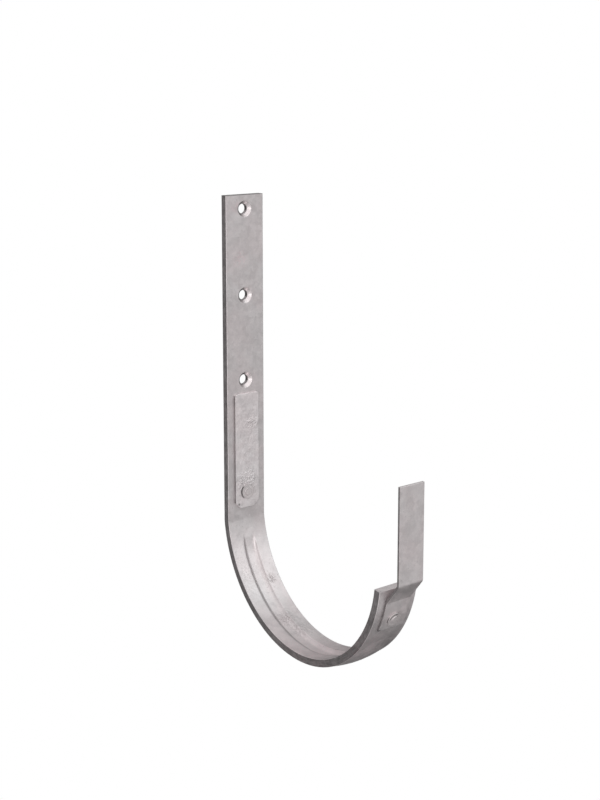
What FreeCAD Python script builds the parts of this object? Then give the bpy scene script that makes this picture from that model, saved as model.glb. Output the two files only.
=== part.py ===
# Half-round gutter bracket of hot-dip galvanised steel, for screwing to a fascia board or rafter end.
# A flat bar is bent to a straight leg and a half-round hook, with a stiffening bead pressed along the hook.
# A thin spring strap is riveted to the leg and another to the hook's front end, and both are bent by hand
# over the gutter's edges when it is laid in.
# Lengths are in millimetres and angles in degrees, up from +X in the hook's plane.
# The origin is the middle screw hole's centre on the leg's wall face.
# +X points away from the wall, +Y runs across the bar and +Z up the leg.
import FreeCAD, Part
import math
import os

# Flat bar
bar_width = 30.0
bar_thickness = 5.0
bar_edge_chamfer = 0.2

# Leg and its countersunk screw holes
hole_count = 3
hole_pitch = 58.0
top_margin = 9.5
hole_diameter = 6.8
countersink_diameter = 10.8
countersink_depth = 2.2

# Hook, whose seat reaches a little behind the leg's front face
seat_radius = 76.5
seat_behind_leg = 0.6
bend_radius = 15.0
hook_end_angle = -7.2

# Pressed bead: a groove along the seat and a low ridge along the outside, which both run out at their ends
bead_after_bend = 7.0
bead_below_front_strap = 11.5
bead_run_out_radius = 35.0
groove_depth = 2.2
groove_floor_width = 4.0
groove_corner_radius = 3.5
groove_shoulder_radius = 0.8
groove_shoulder_slope = 12.0
ridge_height = 1.55
ridge_side_margin = 1.5

# Spring straps
strap_width = 19.2
strap_thickness = 1.5
strap_bend_radius = 1.5

# Rear strap, flat on the leg between its lowest screw hole and the bend
rear_strap_above_bend = 7.0
rear_strap_length = 80.0
rear_strap_below_hole = 9.0
rear_strap_clipped_corner = 4.0
rear_strap_corner_radius = 1.6

# Front strap: a foot round the outside of the hook, a slanted joggle past its tip and an upright tab
front_bend_from_tip = 8.6
front_foot_length = 20.8
joggle_angle = 51.5
joggle_reach = 10.7
tab_above_hook_centre = 55.8

# Rivets: a shank through strap and bar, a flat set head on the strap and a flush tail in the bar
rivet_shank_diameter = 5.0
rivet_tail_diameter = 8.0
rivet_tail_depth = 1.6
rivet_head_diameter = 9.8
rivet_head_height = 0.8
rivet_head_edge_chamfer = 0.15
rivet_boss_diameter = 5.4
rivet_boss_top_diameter = 4.8
rivet_boss_height = 1.3
rear_rivet_from_end = 11.2
front_rivet_from_bend = 13.2

# How far cutting tools run past a face, so that no face of theirs lies in one of the part's
tool_overrun = 1.0
run_out_overrun = 3.0

# How far off a plane an edge may lie and still count as in it
in_plane = 1e-6


def angle_of(length, radius):
    """Angle that an arc of a length takes on a circle."""
    return math.degrees(length / radius)


# Radii and heights that follow from the sizes above
hook_radius = seat_radius + bar_thickness
strap_radius = hook_radius + strap_thickness
crown_radius = hook_radius + ridge_height
trough_radius = seat_radius + groove_depth
ridge_width = bar_width - 2 * ridge_side_margin
hook_x = bar_thickness + seat_radius - seat_behind_leg
bend_x = bar_thickness + bend_radius
bend_drop = math.sqrt((seat_radius - bend_radius) ** 2 - (hook_x - bend_x) ** 2)
highest_hole_z = hole_pitch * (hole_count - 1) / 2
lowest_hole_z = -highest_hole_z
leg_top = highest_hole_z + top_margin
rear_strap_top = lowest_hole_z - rear_strap_below_hole
rear_strap_bottom = rear_strap_top - rear_strap_length
bend_z = rear_strap_bottom - rear_strap_above_bend
hook_z = bend_z + bend_drop

# Angles round the hook's centre
bend_end_angle = -180 + math.degrees(math.asin(bend_drop / (seat_radius - bend_radius)))
front_bend_angle = hook_end_angle - angle_of(front_bend_from_tip, strap_radius)
front_foot_end_angle = front_bend_angle - angle_of(front_foot_length, strap_radius)
front_rivet_angle = front_bend_angle - angle_of(front_rivet_from_bend, strap_radius)
bead_rear_angle = bend_end_angle + angle_of(bead_after_bend, seat_radius)
bead_front_angle = front_foot_end_angle - angle_of(bead_below_front_strap, strap_radius)

# Places and directions
hook_centre = FreeCAD.Vector(hook_x, 0, hook_z)
bend_centre = FreeCAD.Vector(bend_x, 0, bend_z)
away_from_wall = FreeCAD.Vector(1, 0, 0)
across_bar = FreeCAD.Vector(0, 1, 0)
turn_axis = FreeCAD.Vector(0, -1, 0)
turn_back_axis = FreeCAD.Vector(0, 1, 0)


def direction(angle):
    """Unit vector in the hook's plane."""
    return FreeCAD.Vector(math.cos(math.radians(angle)), 0, math.sin(math.radians(angle)))


def on_circle(centre, radius, angle):
    """Point on a circle in the hook's plane."""
    return centre + direction(angle) * radius


def arc(centre, radius, angle_from, angle_to):
    """Arc in the hook's plane, between two angles."""
    middle = (angle_from + angle_to) / 2
    points = [on_circle(centre, radius, angle) for angle in (angle_from, middle, angle_to)]
    return Part.Arc(*points).toShape()


def line(start, end):
    """Straight edge between two points."""
    return Part.LineSegment(start, end).toShape()


def face_of(edges):
    """Flat face inside edges that are listed in any order."""
    return Part.Face(Part.Wire(Part.__sortEdges__(edges)))


def plate_of(edges, width):
    """Solid of an outline in the hook's plane, with its width centred across the bar."""
    face = face_of(edges)
    face.translate(across_bar * (-width / 2))
    return face.extrude(across_bar * width)


def placed_along(shape, start, heading):
    """Copy of a shape drawn along +X from the origin, turned to an angle and moved to its start."""
    placed = shape.copy()
    placed.rotate(FreeCAD.Vector(0, 0, 0), turn_axis, heading)
    placed.translate(start)
    return placed


def cylinder_about_hook(radius):
    """Cylinder about the hook's axis, wider than the bar."""
    width = bar_width + 2 * tool_overrun
    return Part.makeCylinder(radius, width, hook_centre - across_bar * (width / 2), across_bar)


def bar_section():
    """Section of the bar with its broken corners, lying where the leg meets the bend."""
    half = bar_width / 2
    cut = bar_edge_chamfer
    corners = [
        (cut, -half),
        (bar_thickness - cut, -half),
        (bar_thickness, cut - half),
        (bar_thickness, half - cut),
        (bar_thickness - cut, half),
        (cut, half),
        (0, half - cut),
        (0, cut - half),
    ]
    outline = [FreeCAD.Vector(x, y, bend_z) for x, y in corners]
    return Part.Face(Part.makePolygon(outline + outline[:1]))


def bar_blank():
    """Bar carried up the leg, round the bend and round the hook, before its holes and bead."""
    section = bar_section()
    leg = section.extrude(FreeCAD.Vector(0, 0, leg_top - bend_z))
    bend_turn = bend_end_angle + 180
    bend = section.revolve(bend_centre, turn_axis, bend_turn)
    section.rotate(bend_centre, turn_axis, bend_turn)
    hook = section.revolve(hook_centre, turn_axis, hook_end_angle - bend_end_angle)
    return leg.fuse([bend, hook]).removeSplitter()


def run_out_turn(path_radius, path_run_out_radius, surface_radius):
    """Turn at a run-out's own centre, from where a path leaves its circle round the hook to the surface."""
    offset = path_radius - path_run_out_radius
    square = surface_radius ** 2 - offset ** 2 - path_run_out_radius ** 2
    return math.degrees(math.acos(square / (2 * offset * path_run_out_radius)))


def run_out_angle():
    """Angle at the hook's centre that the groove takes to rise from its full depth to the seat."""
    turn = math.radians(run_out_turn(trough_radius, bead_run_out_radius, seat_radius))
    offset = trough_radius - bead_run_out_radius
    return math.degrees(
        math.atan2(bead_run_out_radius * math.sin(turn), offset + bead_run_out_radius * math.cos(turn))
    )


def swept_bead(profile, turn_past_end):
    """Solid of a section turned round the hook, and on at each end round a tighter centre, where it runs
    out. The section is drawn at angle 0. Groove and ridge turn about the same centres."""
    rear = bead_rear_angle + run_out_angle()
    front = bead_front_angle - run_out_angle()
    offset = trough_radius - bead_run_out_radius
    at_rear = profile.copy()
    at_rear.rotate(hook_centre, turn_axis, rear)
    at_front = profile.copy()
    at_front.rotate(hook_centre, turn_axis, front)
    middle = at_rear.revolve(hook_centre, turn_axis, front - rear)
    rear_end = at_rear.revolve(on_circle(hook_centre, offset, rear), turn_back_axis, turn_past_end)
    front_end = at_front.revolve(on_circle(hook_centre, offset, front), turn_axis, turn_past_end)
    return middle.fuse([rear_end, front_end])


def section_point(y, radius):
    """Point of a bead's section, at a place across the bar and a distance from the hook's centre."""
    return hook_centre + FreeCAD.Vector(radius, y, 0)


def groove_section():
    """Section of the groove: a flat floor, round corners and steep flanks. The shoulders above them roll over
    until they almost lie in the seat."""
    half_floor = groove_floor_width / 2
    corner_centre = trough_radius - groove_corner_radius
    shoulder_centre = seat_radius + groove_shoulder_radius * math.cos(math.radians(groove_shoulder_slope))
    centre_distance = groove_corner_radius + groove_shoulder_radius
    flank = math.acos((shoulder_centre - corner_centre) / centre_distance)
    shoulder_y = half_floor + centre_distance * math.sin(flank)
    flank_y = half_floor + groove_corner_radius * math.sin(flank)
    flank_radius = corner_centre + groove_corner_radius * math.cos(flank)
    free_radius = seat_radius - groove_depth - tool_overrun
    edges = [line(section_point(-half_floor, trough_radius), section_point(half_floor, trough_radius))]
    for side in (-1, 1):
        corner = Part.Arc(
            section_point(side * half_floor, trough_radius),
            section_point(
                side * (half_floor + groove_corner_radius * math.sin(flank / 2)),
                corner_centre + groove_corner_radius * math.cos(flank / 2),
            ),
            section_point(side * flank_y, flank_radius),
        )
        edges.append(corner.toShape())
        lip = section_point(side * shoulder_y, shoulder_centre - groove_shoulder_radius)
        shoulder = Part.Arc(
            section_point(side * flank_y, flank_radius),
            section_point(
                side * (shoulder_y - groove_shoulder_radius * math.sin(flank / 2)),
                shoulder_centre - groove_shoulder_radius * math.cos(flank / 2),
            ),
            lip,
        )
        edges.append(shoulder.toShape())
        edges.append(line(lip, section_point(side * shoulder_y, free_radius)))
    edges.append(line(section_point(-shoulder_y, free_radius), section_point(shoulder_y, free_radius)))
    return face_of(edges)


def groove():
    """Tool that presses the groove into the seat."""
    turn = run_out_turn(trough_radius, bead_run_out_radius, seat_radius)
    return swept_bead(groove_section(), turn + run_out_overrun)


def ridge_section():
    """Section of the ridge: a shallow crown over nearly the whole width, with its base inside the bar."""
    half = ridge_width / 2
    base_radius = hook_radius - tool_overrun
    crown = Part.Arc(
        section_point(-half, hook_radius),
        section_point(0, crown_radius),
        section_point(half, hook_radius),
    )
    return face_of([
        crown.toShape(),
        line(section_point(half, hook_radius), section_point(half, base_radius)),
        line(section_point(half, base_radius), section_point(-half, base_radius)),
        line(section_point(-half, base_radius), section_point(-half, hook_radius)),
    ])


def ridge():
    """Metal that the press pushes out along the outside of the hook."""
    crown_run_out_radius = bead_run_out_radius + crown_radius - trough_radius
    turn = run_out_turn(crown_radius, crown_run_out_radius, hook_radius)
    return swept_bead(ridge_section(), turn + run_out_overrun)


def screw_hole(z):
    """Countersunk hole through the leg, open towards the gutter side."""
    through = Part.makeCylinder(
        hole_diameter / 2,
        bar_thickness + 2 * tool_overrun,
        FreeCAD.Vector(-tool_overrun, 0, z),
        away_from_wall,
    )
    flare = (countersink_diameter - hole_diameter) / 2 / countersink_depth
    countersink = Part.makeCone(
        hole_diameter / 2,
        countersink_diameter / 2 + flare * tool_overrun,
        countersink_depth + tool_overrun,
        FreeCAD.Vector(bar_thickness - countersink_depth, 0, z),
        away_from_wall,
    )
    return through.fuse(countersink)


def rivet_shank():
    """Shank of a rivet along +X from the bar's far face to the strap's face, with its countersunk tail."""
    radius = rivet_shank_diameter / 2
    flare = (rivet_tail_diameter / 2 - radius) / rivet_tail_depth
    length = bar_thickness + strap_thickness
    shank = Part.makeCylinder(radius, length, FreeCAD.Vector(0, 0, 0), away_from_wall)
    tail = Part.makeCone(
        rivet_tail_diameter / 2 + flare * tool_overrun,
        radius,
        rivet_tail_depth + tool_overrun,
        FreeCAD.Vector(-tool_overrun, 0, 0),
        away_from_wall,
    )
    return shank.fuse(tail)


def rivet_head():
    """Set head with a broken rim and a raised middle, made deeper than it is so that its seat can be cut."""
    seat_x = bar_thickness + strap_thickness
    rim = Part.makeCylinder(
        rivet_head_diameter / 2,
        rivet_head_height + tool_overrun,
        FreeCAD.Vector(seat_x - tool_overrun, 0, 0),
        away_from_wall,
    )
    rim_edge = [edge for edge in rim.Edges if edge.BoundBox.XMin > seat_x]
    rim = rim.makeChamfer(rivet_head_edge_chamfer, rim_edge)
    boss = Part.makeCone(
        rivet_boss_diameter / 2,
        rivet_boss_top_diameter / 2,
        rivet_boss_height - rivet_head_height,
        FreeCAD.Vector(seat_x + rivet_head_height, 0, 0),
        away_from_wall,
    )
    return rim.fuse(boss)


def rear_rivet_start():
    """Where the rear rivet's axis leaves the leg's wall face."""
    return FreeCAD.Vector(0, 0, rear_strap_bottom + rear_rivet_from_end)


def front_rivet_start():
    """Where the front rivet's axis leaves the hook's seat."""
    return on_circle(hook_centre, seat_radius, front_rivet_angle)


def rear_rivet_shank():
    """Rear rivet's shank in place, with its tail still standing out of the wall face."""
    return placed_along(rivet_shank(), rear_rivet_start(), 0)


def front_rivet_shank():
    """Front rivet's shank in place, with its tail still standing out of the seat."""
    return placed_along(rivet_shank(), front_rivet_start(), front_rivet_angle)


def hook_bar():
    """Bent flat bar with its bead, its screw holes and the two countersunk rivet holes."""
    bar = bar_blank().fuse(ridge()).cut(groove())
    holes = [screw_hole(lowest_hole_z + index * hole_pitch) for index in range(hole_count)]
    return bar.cut(holes + [rear_rivet_shank(), front_rivet_shank()]).removeSplitter()


def is_top_corner(edge):
    """Whether an edge of the rear strap runs through its thickness at the top."""
    return edge.BoundBox.ZMin > rear_strap_top - in_plane and edge.BoundBox.YLength < in_plane


def rear_spring_strap():
    """Flat strip on the leg's gutter side, with clipped lower and rounded upper corners."""
    half = strap_width / 2
    clip = rear_strap_clipped_corner
    corners = [
        (-half, rear_strap_top),
        (-half, rear_strap_bottom + clip),
        (clip - half, rear_strap_bottom),
        (half - clip, rear_strap_bottom),
        (half, rear_strap_bottom + clip),
        (half, rear_strap_top),
    ]
    outline = [FreeCAD.Vector(bar_thickness, y, z) for y, z in corners]
    strap = Part.Face(Part.makePolygon(outline + outline[:1])).extrude(away_from_wall * strap_thickness)
    top_corners = [edge for edge in strap.Edges if is_top_corner(edge)]
    return strap.makeFillet(rear_strap_corner_radius, top_corners).cut(rear_rivet_shank())


def front_strap_outline():
    """Edges of the front strap in side view, which keeps one thickness round both of its bends."""
    inner = strap_bend_radius
    outer = strap_bend_radius + strap_thickness
    # The lower bend turns away from the hook, about a centre outside the strap
    lower_centre = on_circle(hook_centre, strap_radius + inner, front_bend_angle)
    lower_from = front_bend_angle + 180
    lower_to = joggle_angle + 90
    slant_start = on_circle(lower_centre, inner, lower_to)
    # The upper bend turns back upright, about a centre on the gutter's side of the tab
    tab_x = on_circle(hook_centre, strap_radius, front_bend_angle).x + joggle_reach
    upper_from = joggle_angle - 90
    upper_if_no_slant = on_circle(slant_start, -outer, upper_from)
    slant_length = (tab_x - outer - upper_if_no_slant.x) / direction(joggle_angle).x
    upper_centre = upper_if_no_slant + direction(joggle_angle) * slant_length
    tab_top_z = hook_z + tab_above_hook_centre
    tab_top_out = FreeCAD.Vector(tab_x, 0, tab_top_z)
    tab_top_in = FreeCAD.Vector(tab_x - strap_thickness, 0, tab_top_z)
    foot_end_out = on_circle(hook_centre, strap_radius, front_foot_end_angle)
    foot_end_in = on_circle(hook_centre, hook_radius, front_foot_end_angle)
    return [
        arc(hook_centre, strap_radius, front_foot_end_angle, front_bend_angle),
        arc(lower_centre, inner, lower_from, lower_to),
        line(slant_start, on_circle(upper_centre, outer, upper_from)),
        arc(upper_centre, outer, upper_from, 0),
        line(on_circle(upper_centre, outer, 0), tab_top_out),
        line(tab_top_out, tab_top_in),
        line(tab_top_in, on_circle(upper_centre, inner, 0)),
        arc(upper_centre, inner, 0, upper_from),
        line(on_circle(upper_centre, inner, upper_from), on_circle(lower_centre, outer, lower_to)),
        arc(lower_centre, outer, lower_to, lower_from),
        arc(hook_centre, hook_radius, front_bend_angle, front_foot_end_angle),
        line(foot_end_in, foot_end_out),
    ]


def front_spring_strap():
    """Strip with a foot on the outside of the hook's front end, a joggle past its tip and an upright tab."""
    return plate_of(front_strap_outline(), strap_width).cut(front_rivet_shank())


def block_before(x, start):
    """Block on the wall's side of a plane, round a rivet's axis."""
    size = bar_width
    corner = FreeCAD.Vector(x - size, -size / 2, start.z - size / 2)
    return Part.makeBox(size, size, size, corner)


def rear_rivet():
    """Rivet of the rear strap, with its tail flush with the leg's wall face."""
    start = rear_rivet_start()
    shank = rear_rivet_shank().cut(block_before(0, start))
    head = placed_along(rivet_head(), start, 0).cut(block_before(bar_thickness + strap_thickness, start))
    return shank.fuse(head).removeSplitter()


def front_rivet():
    """Rivet of the front strap, with its tail flush with the seat and its head cut to the strap's curve."""
    strap_cylinder = cylinder_about_hook(strap_radius)
    shank = front_rivet_shank().cut(cylinder_about_hook(seat_radius)).common(strap_cylinder)
    head = placed_along(rivet_head(), front_rivet_start(), front_rivet_angle).cut(strap_cylinder)
    return shank.fuse(head).removeSplitter()


nodes = {
    "hook_bar": hook_bar,
    "rear_spring_strap": rear_spring_strap,
    "front_spring_strap": front_spring_strap,
    "rear_rivet": rear_rivet,
    "front_rivet": front_rivet,
}

os.makedirs("parts", exist_ok=True)
for name, make in nodes.items():
    shape = make()
    if len(shape.Solids) == 1:
        shape = shape.Solids[0]
    shape.exportStep(f"parts/{name}.step")
    box = shape.BoundBox
    print(f"{name}: {len(shape.Solids)} solid, valid {shape.isValid()}, {shape.Volume:.1f} mm3")
    print(f"  x {box.XMin:.1f} to {box.XMax:.1f}, z {box.ZMin:.1f} to {box.ZMax:.1f}")
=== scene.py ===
import math

import bpy
from mathutils import Matrix, Vector


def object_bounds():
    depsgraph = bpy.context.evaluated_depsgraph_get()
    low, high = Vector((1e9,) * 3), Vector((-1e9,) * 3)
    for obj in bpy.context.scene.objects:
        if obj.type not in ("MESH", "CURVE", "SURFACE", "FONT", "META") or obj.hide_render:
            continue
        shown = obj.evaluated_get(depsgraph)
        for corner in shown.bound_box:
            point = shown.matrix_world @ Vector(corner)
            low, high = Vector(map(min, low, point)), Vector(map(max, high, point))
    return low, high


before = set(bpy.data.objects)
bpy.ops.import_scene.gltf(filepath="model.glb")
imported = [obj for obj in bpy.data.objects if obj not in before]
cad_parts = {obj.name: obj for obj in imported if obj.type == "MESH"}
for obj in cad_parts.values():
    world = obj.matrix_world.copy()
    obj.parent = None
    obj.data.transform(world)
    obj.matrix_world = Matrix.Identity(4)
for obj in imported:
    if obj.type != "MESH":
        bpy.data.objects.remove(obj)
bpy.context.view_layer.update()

# Camera of the photograph, whose frame is 600 by 800 pixels
frame_long_side = 800
sensor_long_side_mm = 36.0
focal_pixels = 1316.378
centre_column = 300
centre_row = 292
camera_heading = math.radians(37.591)
camera_pitch = math.radians(9.234)
camera_distance = 0.904719
aim_point = Vector((0.005, 0.0, -0.143917))
aim_column = 246.433
aim_row = 501.833

# Studio: a soft room, whose walls have their own brightness, two soft lamps and a pale floor
room_walls = {"X": (0.63, 0.05), "Y": (0.02, 0.43), "Z": (0.81, 0.01)}
mirrored_room = 0.06
high_lamp_side = Vector((0.60, 0.55, 0.58)).normalized()
high_lamp_strength = 0.58
high_lamp_width = math.radians(60)
high_lamp_colour = (0.90, 1.0, 1.0)
edge_lamp_side = Vector((0.75, -0.62, -0.10)).normalized()
edge_lamp_strength = 0.55
edge_lamp_width = math.radians(40)
edge_lamp_colour = (1.0, 1.0, 1.0)
floor_drop = 0.40
floor_radius = 0.30
floor_sides = 96
floor_grey = 0.20
floor_glow = 0.90

# Screw holes: centres of the countersinks, the reach round them, and how far from the wall their cones end
countersinks = [Vector((0.0045, 0.0, height)) for height in (0.058, 0.0, -0.058)]
countersink_reach = 0.0056
countersink_floor = 0.0028

# Leg and hook: the height where the cut top begins, the hook's centre, and its seat's radius with a margin
bar_top = 0.0672
hook_centre = Vector((0.0809, 0.0, -0.14543))
seat_radius = 0.0765
seat_margin = 0.001

# Pressed groove's upper end, and the limits within which its shading fades into the seat's there
groove_end = Vector((0.0065, 0.0, -0.1625))
groove_floor_radius = 0.0793
groove_half_width = 0.0085
groove_fade_reach = (0.003, 0.012)
groove_fade_heights = (-0.1575, -0.1560)

# Painted shade line on the groove's near shoulder, and the heights and the distances from the wall where it
# ends
groove_shoulder_y = -0.0057
shoulder_half_width = (0.0002, 0.0010)
shoulder_heights = (-0.180, -0.160)
shoulder_front = (0.105, 0.125)

# Places where the coat differs: centre, reach and strength. It is rough in a crust and pink in a stain; it
# is darker where shade is painted on and brighter where light is painted on.
bar_crust = [
    (Vector((0.0228, 0.0076, -0.1952)), 0.007, 0.55),
    (Vector((0.0475, 0.0030, -0.2143)), 0.014, 0.6),
    (Vector((0.0593, 0.0060, -0.2188)), 0.014, 0.6),
    (Vector((0.0180, -0.0120, -0.1900)), 0.040, 0.25),
]
bar_stains = [
    (Vector((0.005, -0.0038, 0.0250)), 0.009, 1.0),
    (Vector((0.005, -0.0068, 0.0600)), 0.008, 0.8),
    (Vector((0.090, -0.0150, -0.2240)), 0.045, 1.0),
    (Vector((0.140, -0.0140, -0.1980)), 0.030, 1.0),
]
# Painted shade on the hook's lower outer face below the front strap's foot
bar_painted_shade = [
    (Vector((0.128, -0.008, -0.214)), 0.045, 0.18),
    (Vector((0.148, 0.006, -0.199)), 0.024, 0.22),
]
# Painted light: places on the bar's outer face by the tip and beside the front strap, brightened where
# shade falls
bar_painted_light = [
    (Vector((0.160, -0.004, -0.140)), 0.032, 1.0),
    (Vector((0.157, -0.012, -0.165)), 0.020, 0.6),
]
rear_strap_crust = [
    (Vector((0.0065, 0.0040, -0.0880)), 0.008, 0.75),
    (Vector((0.0065, -0.0010, -0.1280)), 0.015, 0.6),
    (Vector((0.0065, 0.0000, -0.1000)), 0.045, 0.15),
]
# Painted shade at the rear strap's lower left corner
rear_strap_painted_shade = [(Vector((0.0065, -0.0070, -0.1441)), 0.0014, 0.6)]
# Painted light on the front strap's foot
front_strap_painted_light = [(Vector((0.160, 0.0, -0.172)), 0.022, 0.3)]
# Painted shadow spots at the front strap's foot corner and beside its rivet
front_strap_painted_shade = [
    (Vector((0.1545, -0.0090, -0.1838)), 0.0018, 1.0),
    (Vector((0.1573, -0.0047, -0.1779)), 0.0010, 1.0),
    (Vector((0.1576, -0.0047, -0.1770)), 0.0010, 1.0),
]

# Painted shadow arcs beside the rivets' heads: centre, radius and side of each, then their width, ends and
# strength
rear_rivet_shadow_arc = (Vector((0.0070, 0.0, -0.1358)), 0.0052, Vector((0.0, -1.0, 0.0)))
front_rivet_shadow_arc = (Vector((0.1584, 0.0, -0.1772)), 0.0039, Vector((0.334, -0.48, 0.81)))
arc_half_width = (0.0002, 0.0007)
arc_ends = (0.45, 0.75)
shadow_arc_strength = 0.5

# Crystals of the coat, and how far a finer noise bends their borders to both sides of its middle
crystal_scale = 300.0
border_scale = 400.0
border_detail = 2.0
border_middle = (0.5, 0.5, 0.5)
border_bend = 0.003

# Noises of the coat: scale, detail and roughness
mottle_noise = (110.0, 5.0, 0.65)
hue_noise = (45.0, 3.0, 0.6)
grain_noise = (1500.0, 2.0, 0.6)
peel_noise = (420.0, 3.0, 0.55)
swell_noise = (190.0, 1.5, 0.5)
glint_noise = (620.0, 1.0, 0.5)
crumb_noise = (700.0, 3.0, 0.65)
cloud_noise = (320.0, 3.0, 0.6)
patch_noise = (55.0, 2.0, 0.5)
speck_noise = (750.0, 2.0, 0.6)
line_noise = (110.0, 3.0, 0.6)

# How many times finer the rolled lines' noise is through the bar's thickness than along it
line_squeeze = 14.0

# Values of a noise between which its effect grows from none to full
soft_step = (0.20, 0.80)
middle_step = (0.30, 0.70)
hard_step = (0.35, 0.65)
glint_step = (0.70, 0.78)
patch_step = (0.45, 0.62)
speck_step = (0.60, 0.70)

# Strength of the specks between their patches
least_specks = 0.15

# Edges, found where a rounded normal turns away from the true one
edge_radius = 0.0004
edge_samples = 6
edge_cosines = (0.90, 0.995)

# Sideways parts of the true normal over which cut sides, the flanks with painted light and the faces with
# painted shade set in, and a cone's painted light turns to painted shade
side_facing = (0.85, 0.97)
flank_light_facing = (-0.35, -0.10)
far_shade_facing = (0.04, 0.22)
cone_facing = (-0.4, 0.4)

# Colours of the coats
bar_tone = (0.60, 0.568, 0.570)
rear_strap_tone = (0.742, 0.702, 0.706)
front_strap_tone = (0.655, 0.618, 0.620)
rivet_tone = (0.62, 0.59, 0.59)

# Hues of a coat as shares of its colour: two that alternate in patches, and the one of its stains
warm_hue = (1.024, 0.984, 0.988)
cool_hue = (1.004, 0.995, 0.997)
pink_hue = (1.10, 0.97, 0.99)

# Brightness as a share of the plain coat's: least and most of its random swings, then that of each mark;
# the brightened places and the flanks facing the near side are painted light, and the faces turned to the
# far side, the line on the groove's shoulder and the bores are painted shade
mottle_tones = (0.93, 1.055)
crystal_tones = (0.965, 1.035)
grain_tones = (0.97, 1.03)
mark_tones = {
    "pits": 0.84,
    "lumps": 1.18,
    "glints": 1.12,
    "painted_light": 1.28,
    "painted_far_shade": 0.70,
    "shoulder": 0.80,
    "bore_shade": 0.60,
    "top_end": 0.40,
    "painted_flank_light": 1.08,
}

# Brightness of painted shade, in a spot or on an arc beside a rivet, at the strength given next, from which
# on it gets no darker
painted_shade_tone = 0.35
full_painted_shade = 0.6

# Brightness added on cut sides by their lines and clouds, and on a cone as painted light on its near side
# that turns to painted shade on its far side
side_line_swing = (-0.20, 0.20)
side_cloud_swing = (-0.14, 0.14)
cone_painted_light = (0.28, -0.50)

# Reflection: the metallic share, and what crystals, pits, sides, edges and cones change in the roughness
metallic_share = 0.7
crystal_roughness = 0.05
pit_roughness = 0.15
side_roughness = 0.12
edge_roughness = -0.06
cone_roughness = -0.12

# Relief of each pattern, in steps of bump_distance
bump_distance = 0.00005
peel_relief = 0.8
swell_relief = 1.6
grain_relief = 0.25
pit_relief = -0.6
lump_relief = 13.0


def look_frame():
    """Right, up and forward directions of the camera."""
    level = math.cos(camera_pitch)
    forward = Vector((
        -math.cos(camera_heading) * level,
        math.sin(camera_heading) * level,
        -math.sin(camera_pitch),
    ))
    right = Vector((math.sin(camera_heading), math.cos(camera_heading), 0.0))
    return right, right.cross(forward), forward


def add_camera():
    """Camera that sees the bracket as the photograph does."""
    right, up, forward = look_frame()
    aside = (aim_column - centre_column) / focal_pixels * camera_distance
    below = (aim_row - centre_row) / focal_pixels * camera_distance
    data = bpy.data.cameras.new("camera")
    data.sensor_width = sensor_long_side_mm
    data.lens = focal_pixels * sensor_long_side_mm / frame_long_side
    data.shift_y = (centre_row - frame_long_side / 2) / frame_long_side
    camera = bpy.data.objects.new("camera", data)
    bpy.context.scene.collection.objects.link(camera)
    turned = Matrix((right, up, -forward)).transposed().to_4x4()
    place = aim_point - forward * camera_distance - right * aside + up * below
    camera.matrix_world = Matrix.Translation(place) @ turned
    bpy.context.scene.camera = camera


def node(tree, kind, inputs=None, **options):
    """New shader node with its options set, and each named input given a value or linked to a socket."""
    made = tree.nodes.new("ShaderNode" + kind)
    for name, value in options.items():
        setattr(made, name, value)
    for name, value in (inputs or {}).items():
        if isinstance(value, bpy.types.NodeSocket):
            tree.links.new(value, made.inputs[name])
        else:
            made.inputs[name].default_value = value
    return made


def maths(tree, operation, first, second=0.0):
    """Result of a sum on one or two numbers."""
    return node(tree, "Math", {0: first, 1: second}, operation=operation).outputs[0]


def product(tree, first, *others):
    """Product of several numbers."""
    for other in others:
        first = maths(tree, "MULTIPLY", first, other)
    return first


def total(tree, first, *others):
    """Sum of several numbers."""
    for other in others:
        first = maths(tree, "ADD", first, other)
    return first


def rest(tree, share):
    """What a share leaves of 1."""
    return maths(tree, "SUBTRACT", 1.0, share)


def varied(tree, share, change):
    """1 where a share is 0, and 1 with the change added where it is 1."""
    return total(tree, 1.0, product(tree, share, change))


def remap(tree, value, start, end, low, high):
    """Value between two bounds carried smoothly on to a new range."""
    inputs = {"Value": value, "From Min": start, "From Max": end, "To Min": low, "To Max": high}
    return node(tree, "MapRange", inputs, interpolation_type="SMOOTHSTEP").outputs["Result"]


def blend(tree, share, low, high):
    """Smooth change from low, where a share is 0, to high, where it is 1."""
    return remap(tree, share, 0.0, 1.0, low, high)


def mix(tree, share, first, second):
    """First colour or vector where a share is 0, and second where it is 1."""
    return node(tree, "MixRGB", {"Fac": share, "Color1": first, "Color2": second}).outputs[0]


def vector_result(tree, operation, first, second=(0.0, 0.0, 0.0)):
    """Vector that a sum on one or two vectors gives."""
    return node(tree, "VectorMath", {0: first, 1: second}, operation=operation).outputs["Vector"]


def vector_measure(tree, operation, first, second=(0.0, 0.0, 0.0)):
    """Number that a sum on one or two vectors gives."""
    return node(tree, "VectorMath", {0: first, 1: second}, operation=operation).outputs["Value"]


def scaled(tree, vector, factor):
    """Vector or colour times a number."""
    return node(tree, "VectorMath", {0: vector, "Scale": factor}, operation="SCALE").outputs["Vector"]


def parts_of(tree, vector):
    """The X, Y and Z of a vector."""
    return node(tree, "SeparateXYZ", {0: vector}).outputs


def noise(tree, where, scale, detail, rough):
    """Soft random pattern, about 0 to 1 with its middle at 0.5."""
    inputs = {"Vector": where, "Scale": scale, "Detail": detail, "Roughness": rough}
    return node(tree, "TexNoise", inputs).outputs[0]


def rays(tree):
    """1 for what the camera sees, straight or through glass, and the faint light that mirrors get."""
    path = node(tree, "LightPath").outputs
    seen = maths(tree, "MAXIMUM", path["Is Camera Ray"], path["Is Transmission Ray"])
    return seen, product(tree, path["Is Glossy Ray"], mirrored_room)


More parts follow.
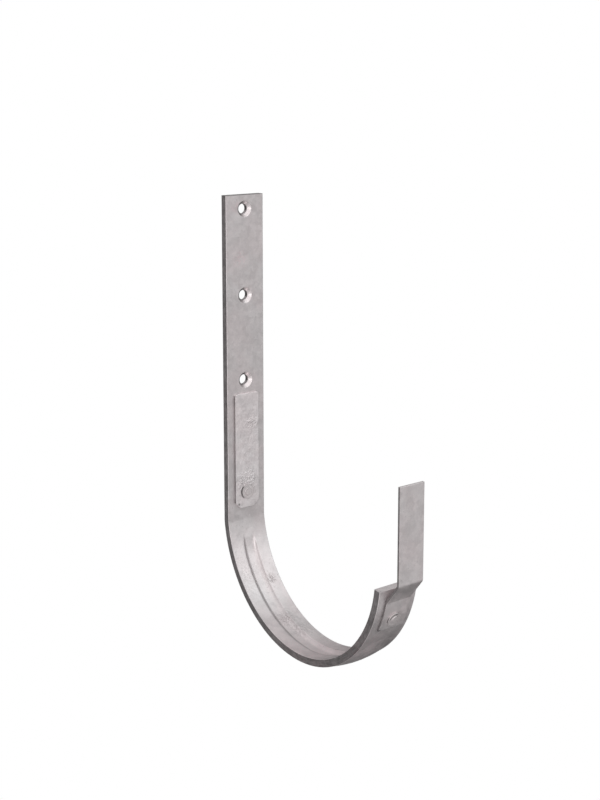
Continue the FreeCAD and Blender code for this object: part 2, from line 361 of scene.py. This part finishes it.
def add_lamp(name, towards, strength, width, colour):
    """Soft lamp far away in a direction."""
    data = bpy.data.lights.new(name, "SUN")
    data.energy = strength
    data.angle = width
    data.color = colour
    lamp = bpy.data.objects.new(name, data)
    bpy.context.scene.collection.objects.link(lamp)
    lamp.location = towards
    lamp.rotation_euler = (-towards).to_track_quat("-Z", "Y").to_euler()


def add_room():
    """World that is white to the camera, faintly so in mirrors, and to the object a soft room. Each axis
    has the brightness of the wall that it points to and of the wall behind it."""
    world = bpy.data.worlds.new("room")
    world.use_nodes = True
    bpy.context.scene.world = world
    tree = world.node_tree
    background = tree.nodes["Background"]
    background.inputs["Color"].default_value = (1, 1, 1, 1)
    facing = parts_of(tree, node(tree, "TexCoord").outputs["Generated"])
    shade = 0.0
    for axis, (ahead, behind) in room_walls.items():
        towards = maths(tree, "MAXIMUM", facing[axis], 0.0)
        away = maths(tree, "MAXIMUM", product(tree, facing[axis], -1.0), 0.0)
        shade = total(tree, shade, product(tree, towards, ahead), product(tree, away, behind))
    seen, mirrored = rays(tree)
    strength = maths(tree, "MAXIMUM", seen, total(tree, shade, mirrored))
    tree.links.new(strength, background.inputs["Strength"])


def add_floor():
    """Round floor under the hook, white to the camera except in a shadow."""
    low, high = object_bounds()
    middle = Vector(((low.x + high.x) / 2, 0, low.z - floor_drop))
    bpy.ops.mesh.primitive_circle_add(
        vertices=floor_sides, radius=floor_radius, fill_type="NGON", location=middle,
    )
    floor = bpy.context.object
    floor.name = "floor"
    material = bpy.data.materials.new("floor_paint")
    material.use_nodes = True
    tree = material.node_tree
    shader = tree.nodes["Principled BSDF"]
    shader.inputs["Base Color"].default_value = (floor_grey, floor_grey, floor_grey, 1)
    shader.inputs["Roughness"].default_value = 1.0
    shader.inputs["Specular IOR Level"].default_value = 0.0
    shader.inputs["Emission Color"].default_value = (1, 1, 1, 1)
    seen, mirrored = rays(tree)
    glow = total(tree, product(tree, seen, floor_glow), mirrored)
    tree.links.new(glow, shader.inputs["Emission Strength"])
    floor.data.materials.append(material)


def spangle(tree, where):
    """Random value for each crystal of the coat, with ragged borders between them."""
    fine = {"Vector": where, "Scale": border_scale, "Detail": border_detail}
    ragged = node(tree, "TexNoise", fine).outputs["Color"]
    offset = scaled(tree, vector_result(tree, "SUBTRACT", ragged, border_middle), border_bend)
    bent = vector_result(tree, "ADD", where, offset)
    crystal = node(tree, "TexVoronoi", {"Vector": bent, "Scale": crystal_scale}).outputs["Color"]
    return node(tree, "SeparateColor", {"Color": crystal}).outputs[0]


def specks(tree, where):
    """Small pits and dross specks, gathered in patches."""
    gathered = remap(tree, noise(tree, where, *patch_noise), *patch_step, least_specks, 1.0)
    points = remap(tree, noise(tree, where, *speck_noise), *speck_step, 0.0, 1.0)
    return product(tree, gathered, points)


def near_places(tree, where, places):
    """Each place's strength at its centre, which fades out to its reach."""
    near = 0.0
    for centre, reach, strength in places:
        off = vector_measure(tree, "DISTANCE", where, centre)
        near = maths(tree, "MAXIMUM", near, remap(tree, off, 0.0, reach, strength, 0.0))
    return near


def arc_mark(tree, where, centre, radius, side):
    """1 on a thin line round a centre, on the given side of it."""
    off = vector_result(tree, "SUBTRACT", where, centre)
    off_ring = maths(tree, "SUBTRACT", vector_measure(tree, "LENGTH", off), radius)
    aside = vector_measure(tree, "DOT_PRODUCT", off, side)
    start, full = [radius * share for share in arc_ends]
    return product(
        tree,
        remap(tree, maths(tree, "ABSOLUTE", off_ring), *arc_half_width, 1.0, 0.0),
        remap(tree, aside, start, full, 0.0, 1.0),
    )


def painted_shade_strength(tree, where, painted_shade, arcs):
    """Strength of the painted shade in its spots and on the painted shadow arcs beside the rivets."""
    marked = near_places(tree, where, painted_shade)
    for arc in arcs:
        marked = maths(tree, "MAXIMUM", marked, product(tree, arc_mark(tree, where, *arc), shadow_arc_strength))
    return marked


def screw_hole_parts(tree, where):
    """1 in the cones of the screw holes' countersinks, which get painted light and shade by the way they
    face, and 1 in their bores, which get painted shade.
    """
    near = 0.0
    for centre in countersinks:
        off = vector_measure(tree, "DISTANCE", where, centre)
        near = maths(tree, "MAXIMUM", near, maths(tree, "LESS_THAN", off, countersink_reach))
    deep = maths(tree, "LESS_THAN", parts_of(tree, where)["X"], countersink_floor)
    return product(tree, near, rest(tree, deep)), product(tree, near, deep)


def towards_hook_axis(tree, where):
    """Vector from a point straight to the hook's axis, and its length."""
    inward = vector_result(tree, "SUBTRACT", hook_centre, where)
    inward = vector_result(tree, "MULTIPLY", inward, (1.0, 0.0, 1.0))
    return inward, vector_measure(tree, "LENGTH", inward)


def groove_shade(tree, where):
    """Share of the seat's plain shading at the groove's upper end, the seat's normal, and 1 on the painted
    shade line along the groove's near shoulder."""
    place = parts_of(tree, where)
    inward, radius = towards_hook_axis(tree, where)
    faded = product(
        tree,
        remap(tree, vector_measure(tree, "DISTANCE", where, groove_end), *groove_fade_reach, 1.0, 0.0),
        remap(tree, place["Z"], *groove_fade_heights, 1.0, 0.0),
        maths(tree, "LESS_THAN", radius, groove_floor_radius),
        maths(tree, "LESS_THAN", maths(tree, "ABSOLUTE", place["Y"]), groove_half_width),
    )
    off_shoulder = maths(tree, "ABSOLUTE", maths(tree, "SUBTRACT", place["Y"], groove_shoulder_y))
    shoulder = product(
        tree,
        remap(tree, off_shoulder, *shoulder_half_width, 1.0, 0.0),
        remap(tree, place["Z"], *shoulder_heights, 1.0, 0.0),
        remap(tree, place["X"], *shoulder_front, 1.0, 0.0),
        maths(tree, "LESS_THAN", radius, seat_radius + seat_margin),
    )
    return faded, vector_result(tree, "NORMALIZE", inward), shoulder


def rolled_lines(tree, where):
    """Fine lines along the bar, which follow its leg and then its hook."""
    place = parts_of(tree, where)
    radius = towards_hook_axis(tree, where)[1]
    on_hook = maths(tree, "LESS_THAN", place["Z"], hook_centre.z)
    hook_depth = product(tree, on_hook, maths(tree, "SUBTRACT", hook_centre.x, radius))
    leg_depth = product(tree, rest(tree, on_hook), place["X"])
    squeezed = product(tree, total(tree, hook_depth, leg_depth), line_squeeze)
    along = total(tree, place["X"], place["Z"])
    stretched = node(tree, "CombineXYZ", {"X": squeezed, "Y": place["Y"], "Z": along}).outputs[0]
    return noise(tree, stretched, *line_noise)


def face_shares(tree, cone, faded):
    """The rounded normal, the sideways part of the true one, and the shares of the edges, of the cut sides,
    of the flanks that face the near side, which get painted light, and of the faces turned to the far side,
    which get painted shade."""
    true_normal = node(tree, "NewGeometry").outputs["True Normal"]
    rounded = node(tree, "Bevel", {"Radius": edge_radius}, samples=edge_samples).outputs["Normal"]
    kept = vector_measure(tree, "DOT_PRODUCT", rounded, true_normal)
    across = parts_of(tree, true_normal)["Y"]
    side = remap(tree, maths(tree, "ABSOLUTE", across), *side_facing, 0.0, 1.0)
    not_side = rest(tree, side)
    unfaded = rest(tree, faded)
    # Flanks facing the near side get painted light, and faces turned to the far side get painted shade
    near_facing = remap(tree, across, *flank_light_facing, 1.0, 0.0)
    far_facing = remap(tree, across, *far_shade_facing, 0.0, 1.0)
    return rounded, across, {
        "edge": product(tree, remap(tree, kept, *edge_cosines, 1.0, 0.0), unfaded),
        "side": side,
        "painted_flank_light": product(tree, near_facing, not_side, unfaded),
        "painted_far_shade": product(tree, far_facing, not_side, rest(tree, cone), unfaded),
    }


def tinted(tone, hue):
    """Colour of a coat in a hue, with its alpha."""
    return (*[value * share for value, share in zip(tone, hue)], 1)


def zinc(
    name, tone, roughness=0.42, side_tone=0.42, edge_tone=1.12, lumpy=0.8,
    crust=(), stains=(), painted_shade=(), painted_light=(), arcs=(),
):
    """Galvanised coat with spangle, mottling, specks, softened edges that are lighter, partly as painted
    highlight, and cut sides that are duller and darker, partly as painted shade, with its crusty and
    stained places, and with painted light in brightened places and on flanks facing the near side, and
    painted shade in spots, in arcs beside its rivets, in bores, on a line along the groove's shoulder and
    on faces turned to the far side."""
    material = bpy.data.materials.new(name)
    material.use_nodes = True
    tree = material.node_tree
    where = node(tree, "TexCoord").outputs["Object"]
    crystal = spangle(tree, where)
    grain = noise(tree, where, *grain_noise)
    crumbs = remap(tree, noise(tree, where, *crumb_noise), *hard_step, 0.0, 1.0)
    cone, bore_shade = screw_hole_parts(tree, where)
    faded, seat_normal, shoulder = groove_shade(tree, where)
    rounded, across, marks = face_shares(tree, cone, faded)
    marks["pits"] = specks(tree, where)
    marks["lumps"] = product(tree, near_places(tree, where, crust), crumbs)
    marks["glints"] = remap(tree, noise(tree, where, *glint_noise), *glint_step, 0.0, 1.0)
    # Brightened places are painted light, and the line on the groove's shoulder and the bores are painted
    # shade
    marks["painted_light"] = near_places(tree, where, painted_light)
    marks["shoulder"] = shoulder
    marks["bore_shade"] = bore_shade
    marks["top_end"] = maths(tree, "GREATER_THAN", parts_of(tree, where)["Z"], bar_top)

    # Cut sides are darker, partly by a duller coat and partly as painted shade, and edges lighter, partly
    # by a smoother coat and partly as painted highlight; an edge tone below 1 darkens edges as painted
    # shade instead
    tones = {**mark_tones, "edge": edge_tone, "side": side_tone}
    side_lines = remap(tree, rolled_lines(tree, where), *middle_step, *side_line_swing)
    side_clouds = remap(tree, noise(tree, where, *cloud_noise), *hard_step, *side_cloud_swing)
    light = product(
        tree,
        remap(tree, noise(tree, where, *mottle_noise), *middle_step, *mottle_tones),
        blend(tree, crystal, *crystal_tones),
        remap(tree, grain, *middle_step, *grain_tones),
        remap(tree, painted_shade_strength(tree, where, painted_shade, arcs), 0.0, full_painted_shade, 1.0, painted_shade_tone),
        # Painted light on a cone's near side, painted shade on its far side
        varied(tree, cone, remap(tree, across, *cone_facing, *cone_painted_light)),
        varied(tree, marks["side"], side_lines),
        varied(tree, marks["side"], side_clouds),
        *[blend(tree, marks[mark], 1.0, mark_tone) for mark, mark_tone in tones.items()],
    )
    patchy = remap(tree, noise(tree, where, *hue_noise), *hard_step, 0.0, 1.0)
    hue = mix(tree, patchy, tinted(tone, warm_hue), tinted(tone, cool_hue))
    stained = product(tree, near_places(tree, where, stains), crumbs)
    colour = scaled(tree, mix(tree, stained, hue, tinted(tone, pink_hue)), light)

    dull = total(
        tree,
        blend(tree, crystal, roughness - crystal_roughness, roughness + crystal_roughness),
        blend(tree, marks["pits"], 0.0, pit_roughness),
        blend(tree, marks["side"], 0.0, side_roughness),
        blend(tree, marks["edge"], 0.0, edge_roughness),
        product(tree, cone, cone_roughness),
    )
    height = total(
        tree,
        remap(tree, noise(tree, where, *peel_noise), *soft_step, 0.0, peel_relief * lumpy),
        remap(tree, noise(tree, where, *swell_noise), *soft_step, 0.0, swell_relief * lumpy),
        remap(tree, grain, *soft_step, 0.0, grain_relief),
        blend(tree, marks["pits"], 0.0, pit_relief),
        blend(tree, marks["lumps"], 0.0, lump_relief),
    )
    plain = mix(tree, faded, rounded, seat_normal)
    bumped = node(tree, "Bump", {"Height": height, "Distance": bump_distance, "Normal": plain}).outputs[0]

    shader = tree.nodes["Principled BSDF"]
    shader.inputs["Metallic"].default_value = metallic_share
    tree.links.new(colour, shader.inputs["Base Color"])
    tree.links.new(dull, shader.inputs["Roughness"])
    tree.links.new(bumped, shader.inputs["Normal"])
    return material


def dress(name, material):
    """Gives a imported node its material."""
    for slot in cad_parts[name].material_slots:
        slot.material = material


bpy.context.scene.view_settings.view_transform = "Standard"
add_camera()
add_room()
add_floor()
add_lamp("high_lamp", high_lamp_side, high_lamp_strength, high_lamp_width, high_lamp_colour)
add_lamp("edge_lamp", edge_lamp_side, edge_lamp_strength, edge_lamp_width, edge_lamp_colour)

bar_zinc = zinc(
    "bar_zinc_coat", bar_tone, side_tone=0.40,
    crust=bar_crust, stains=bar_stains, painted_shade=bar_painted_shade, painted_light=bar_painted_light,
)
rear_strap_zinc = zinc(
    "rear_strap_zinc_coat", rear_strap_tone, lumpy=2.5,
    crust=rear_strap_crust, painted_shade=rear_strap_painted_shade, arcs=[rear_rivet_shadow_arc],
)
front_strap_zinc = zinc(
    "front_strap_zinc_coat", front_strap_tone, painted_shade=front_strap_painted_shade, painted_light=front_strap_painted_light,
)
# The rivets' cut sides and edges are darkened as painted shade
rivet_zinc = zinc(
    "rivet_zinc_coat", rivet_tone, roughness=0.60, side_tone=0.60, edge_tone=0.70,
    arcs=[rear_rivet_shadow_arc, front_rivet_shadow_arc],
)
dress("hook_bar", bar_zinc)
dress("rear_spring_strap", rear_strap_zinc)
dress("front_spring_strap", front_strap_zinc)
dress("rear_rivet", rivet_zinc)
dress("front_rivet", rivet_zinc)
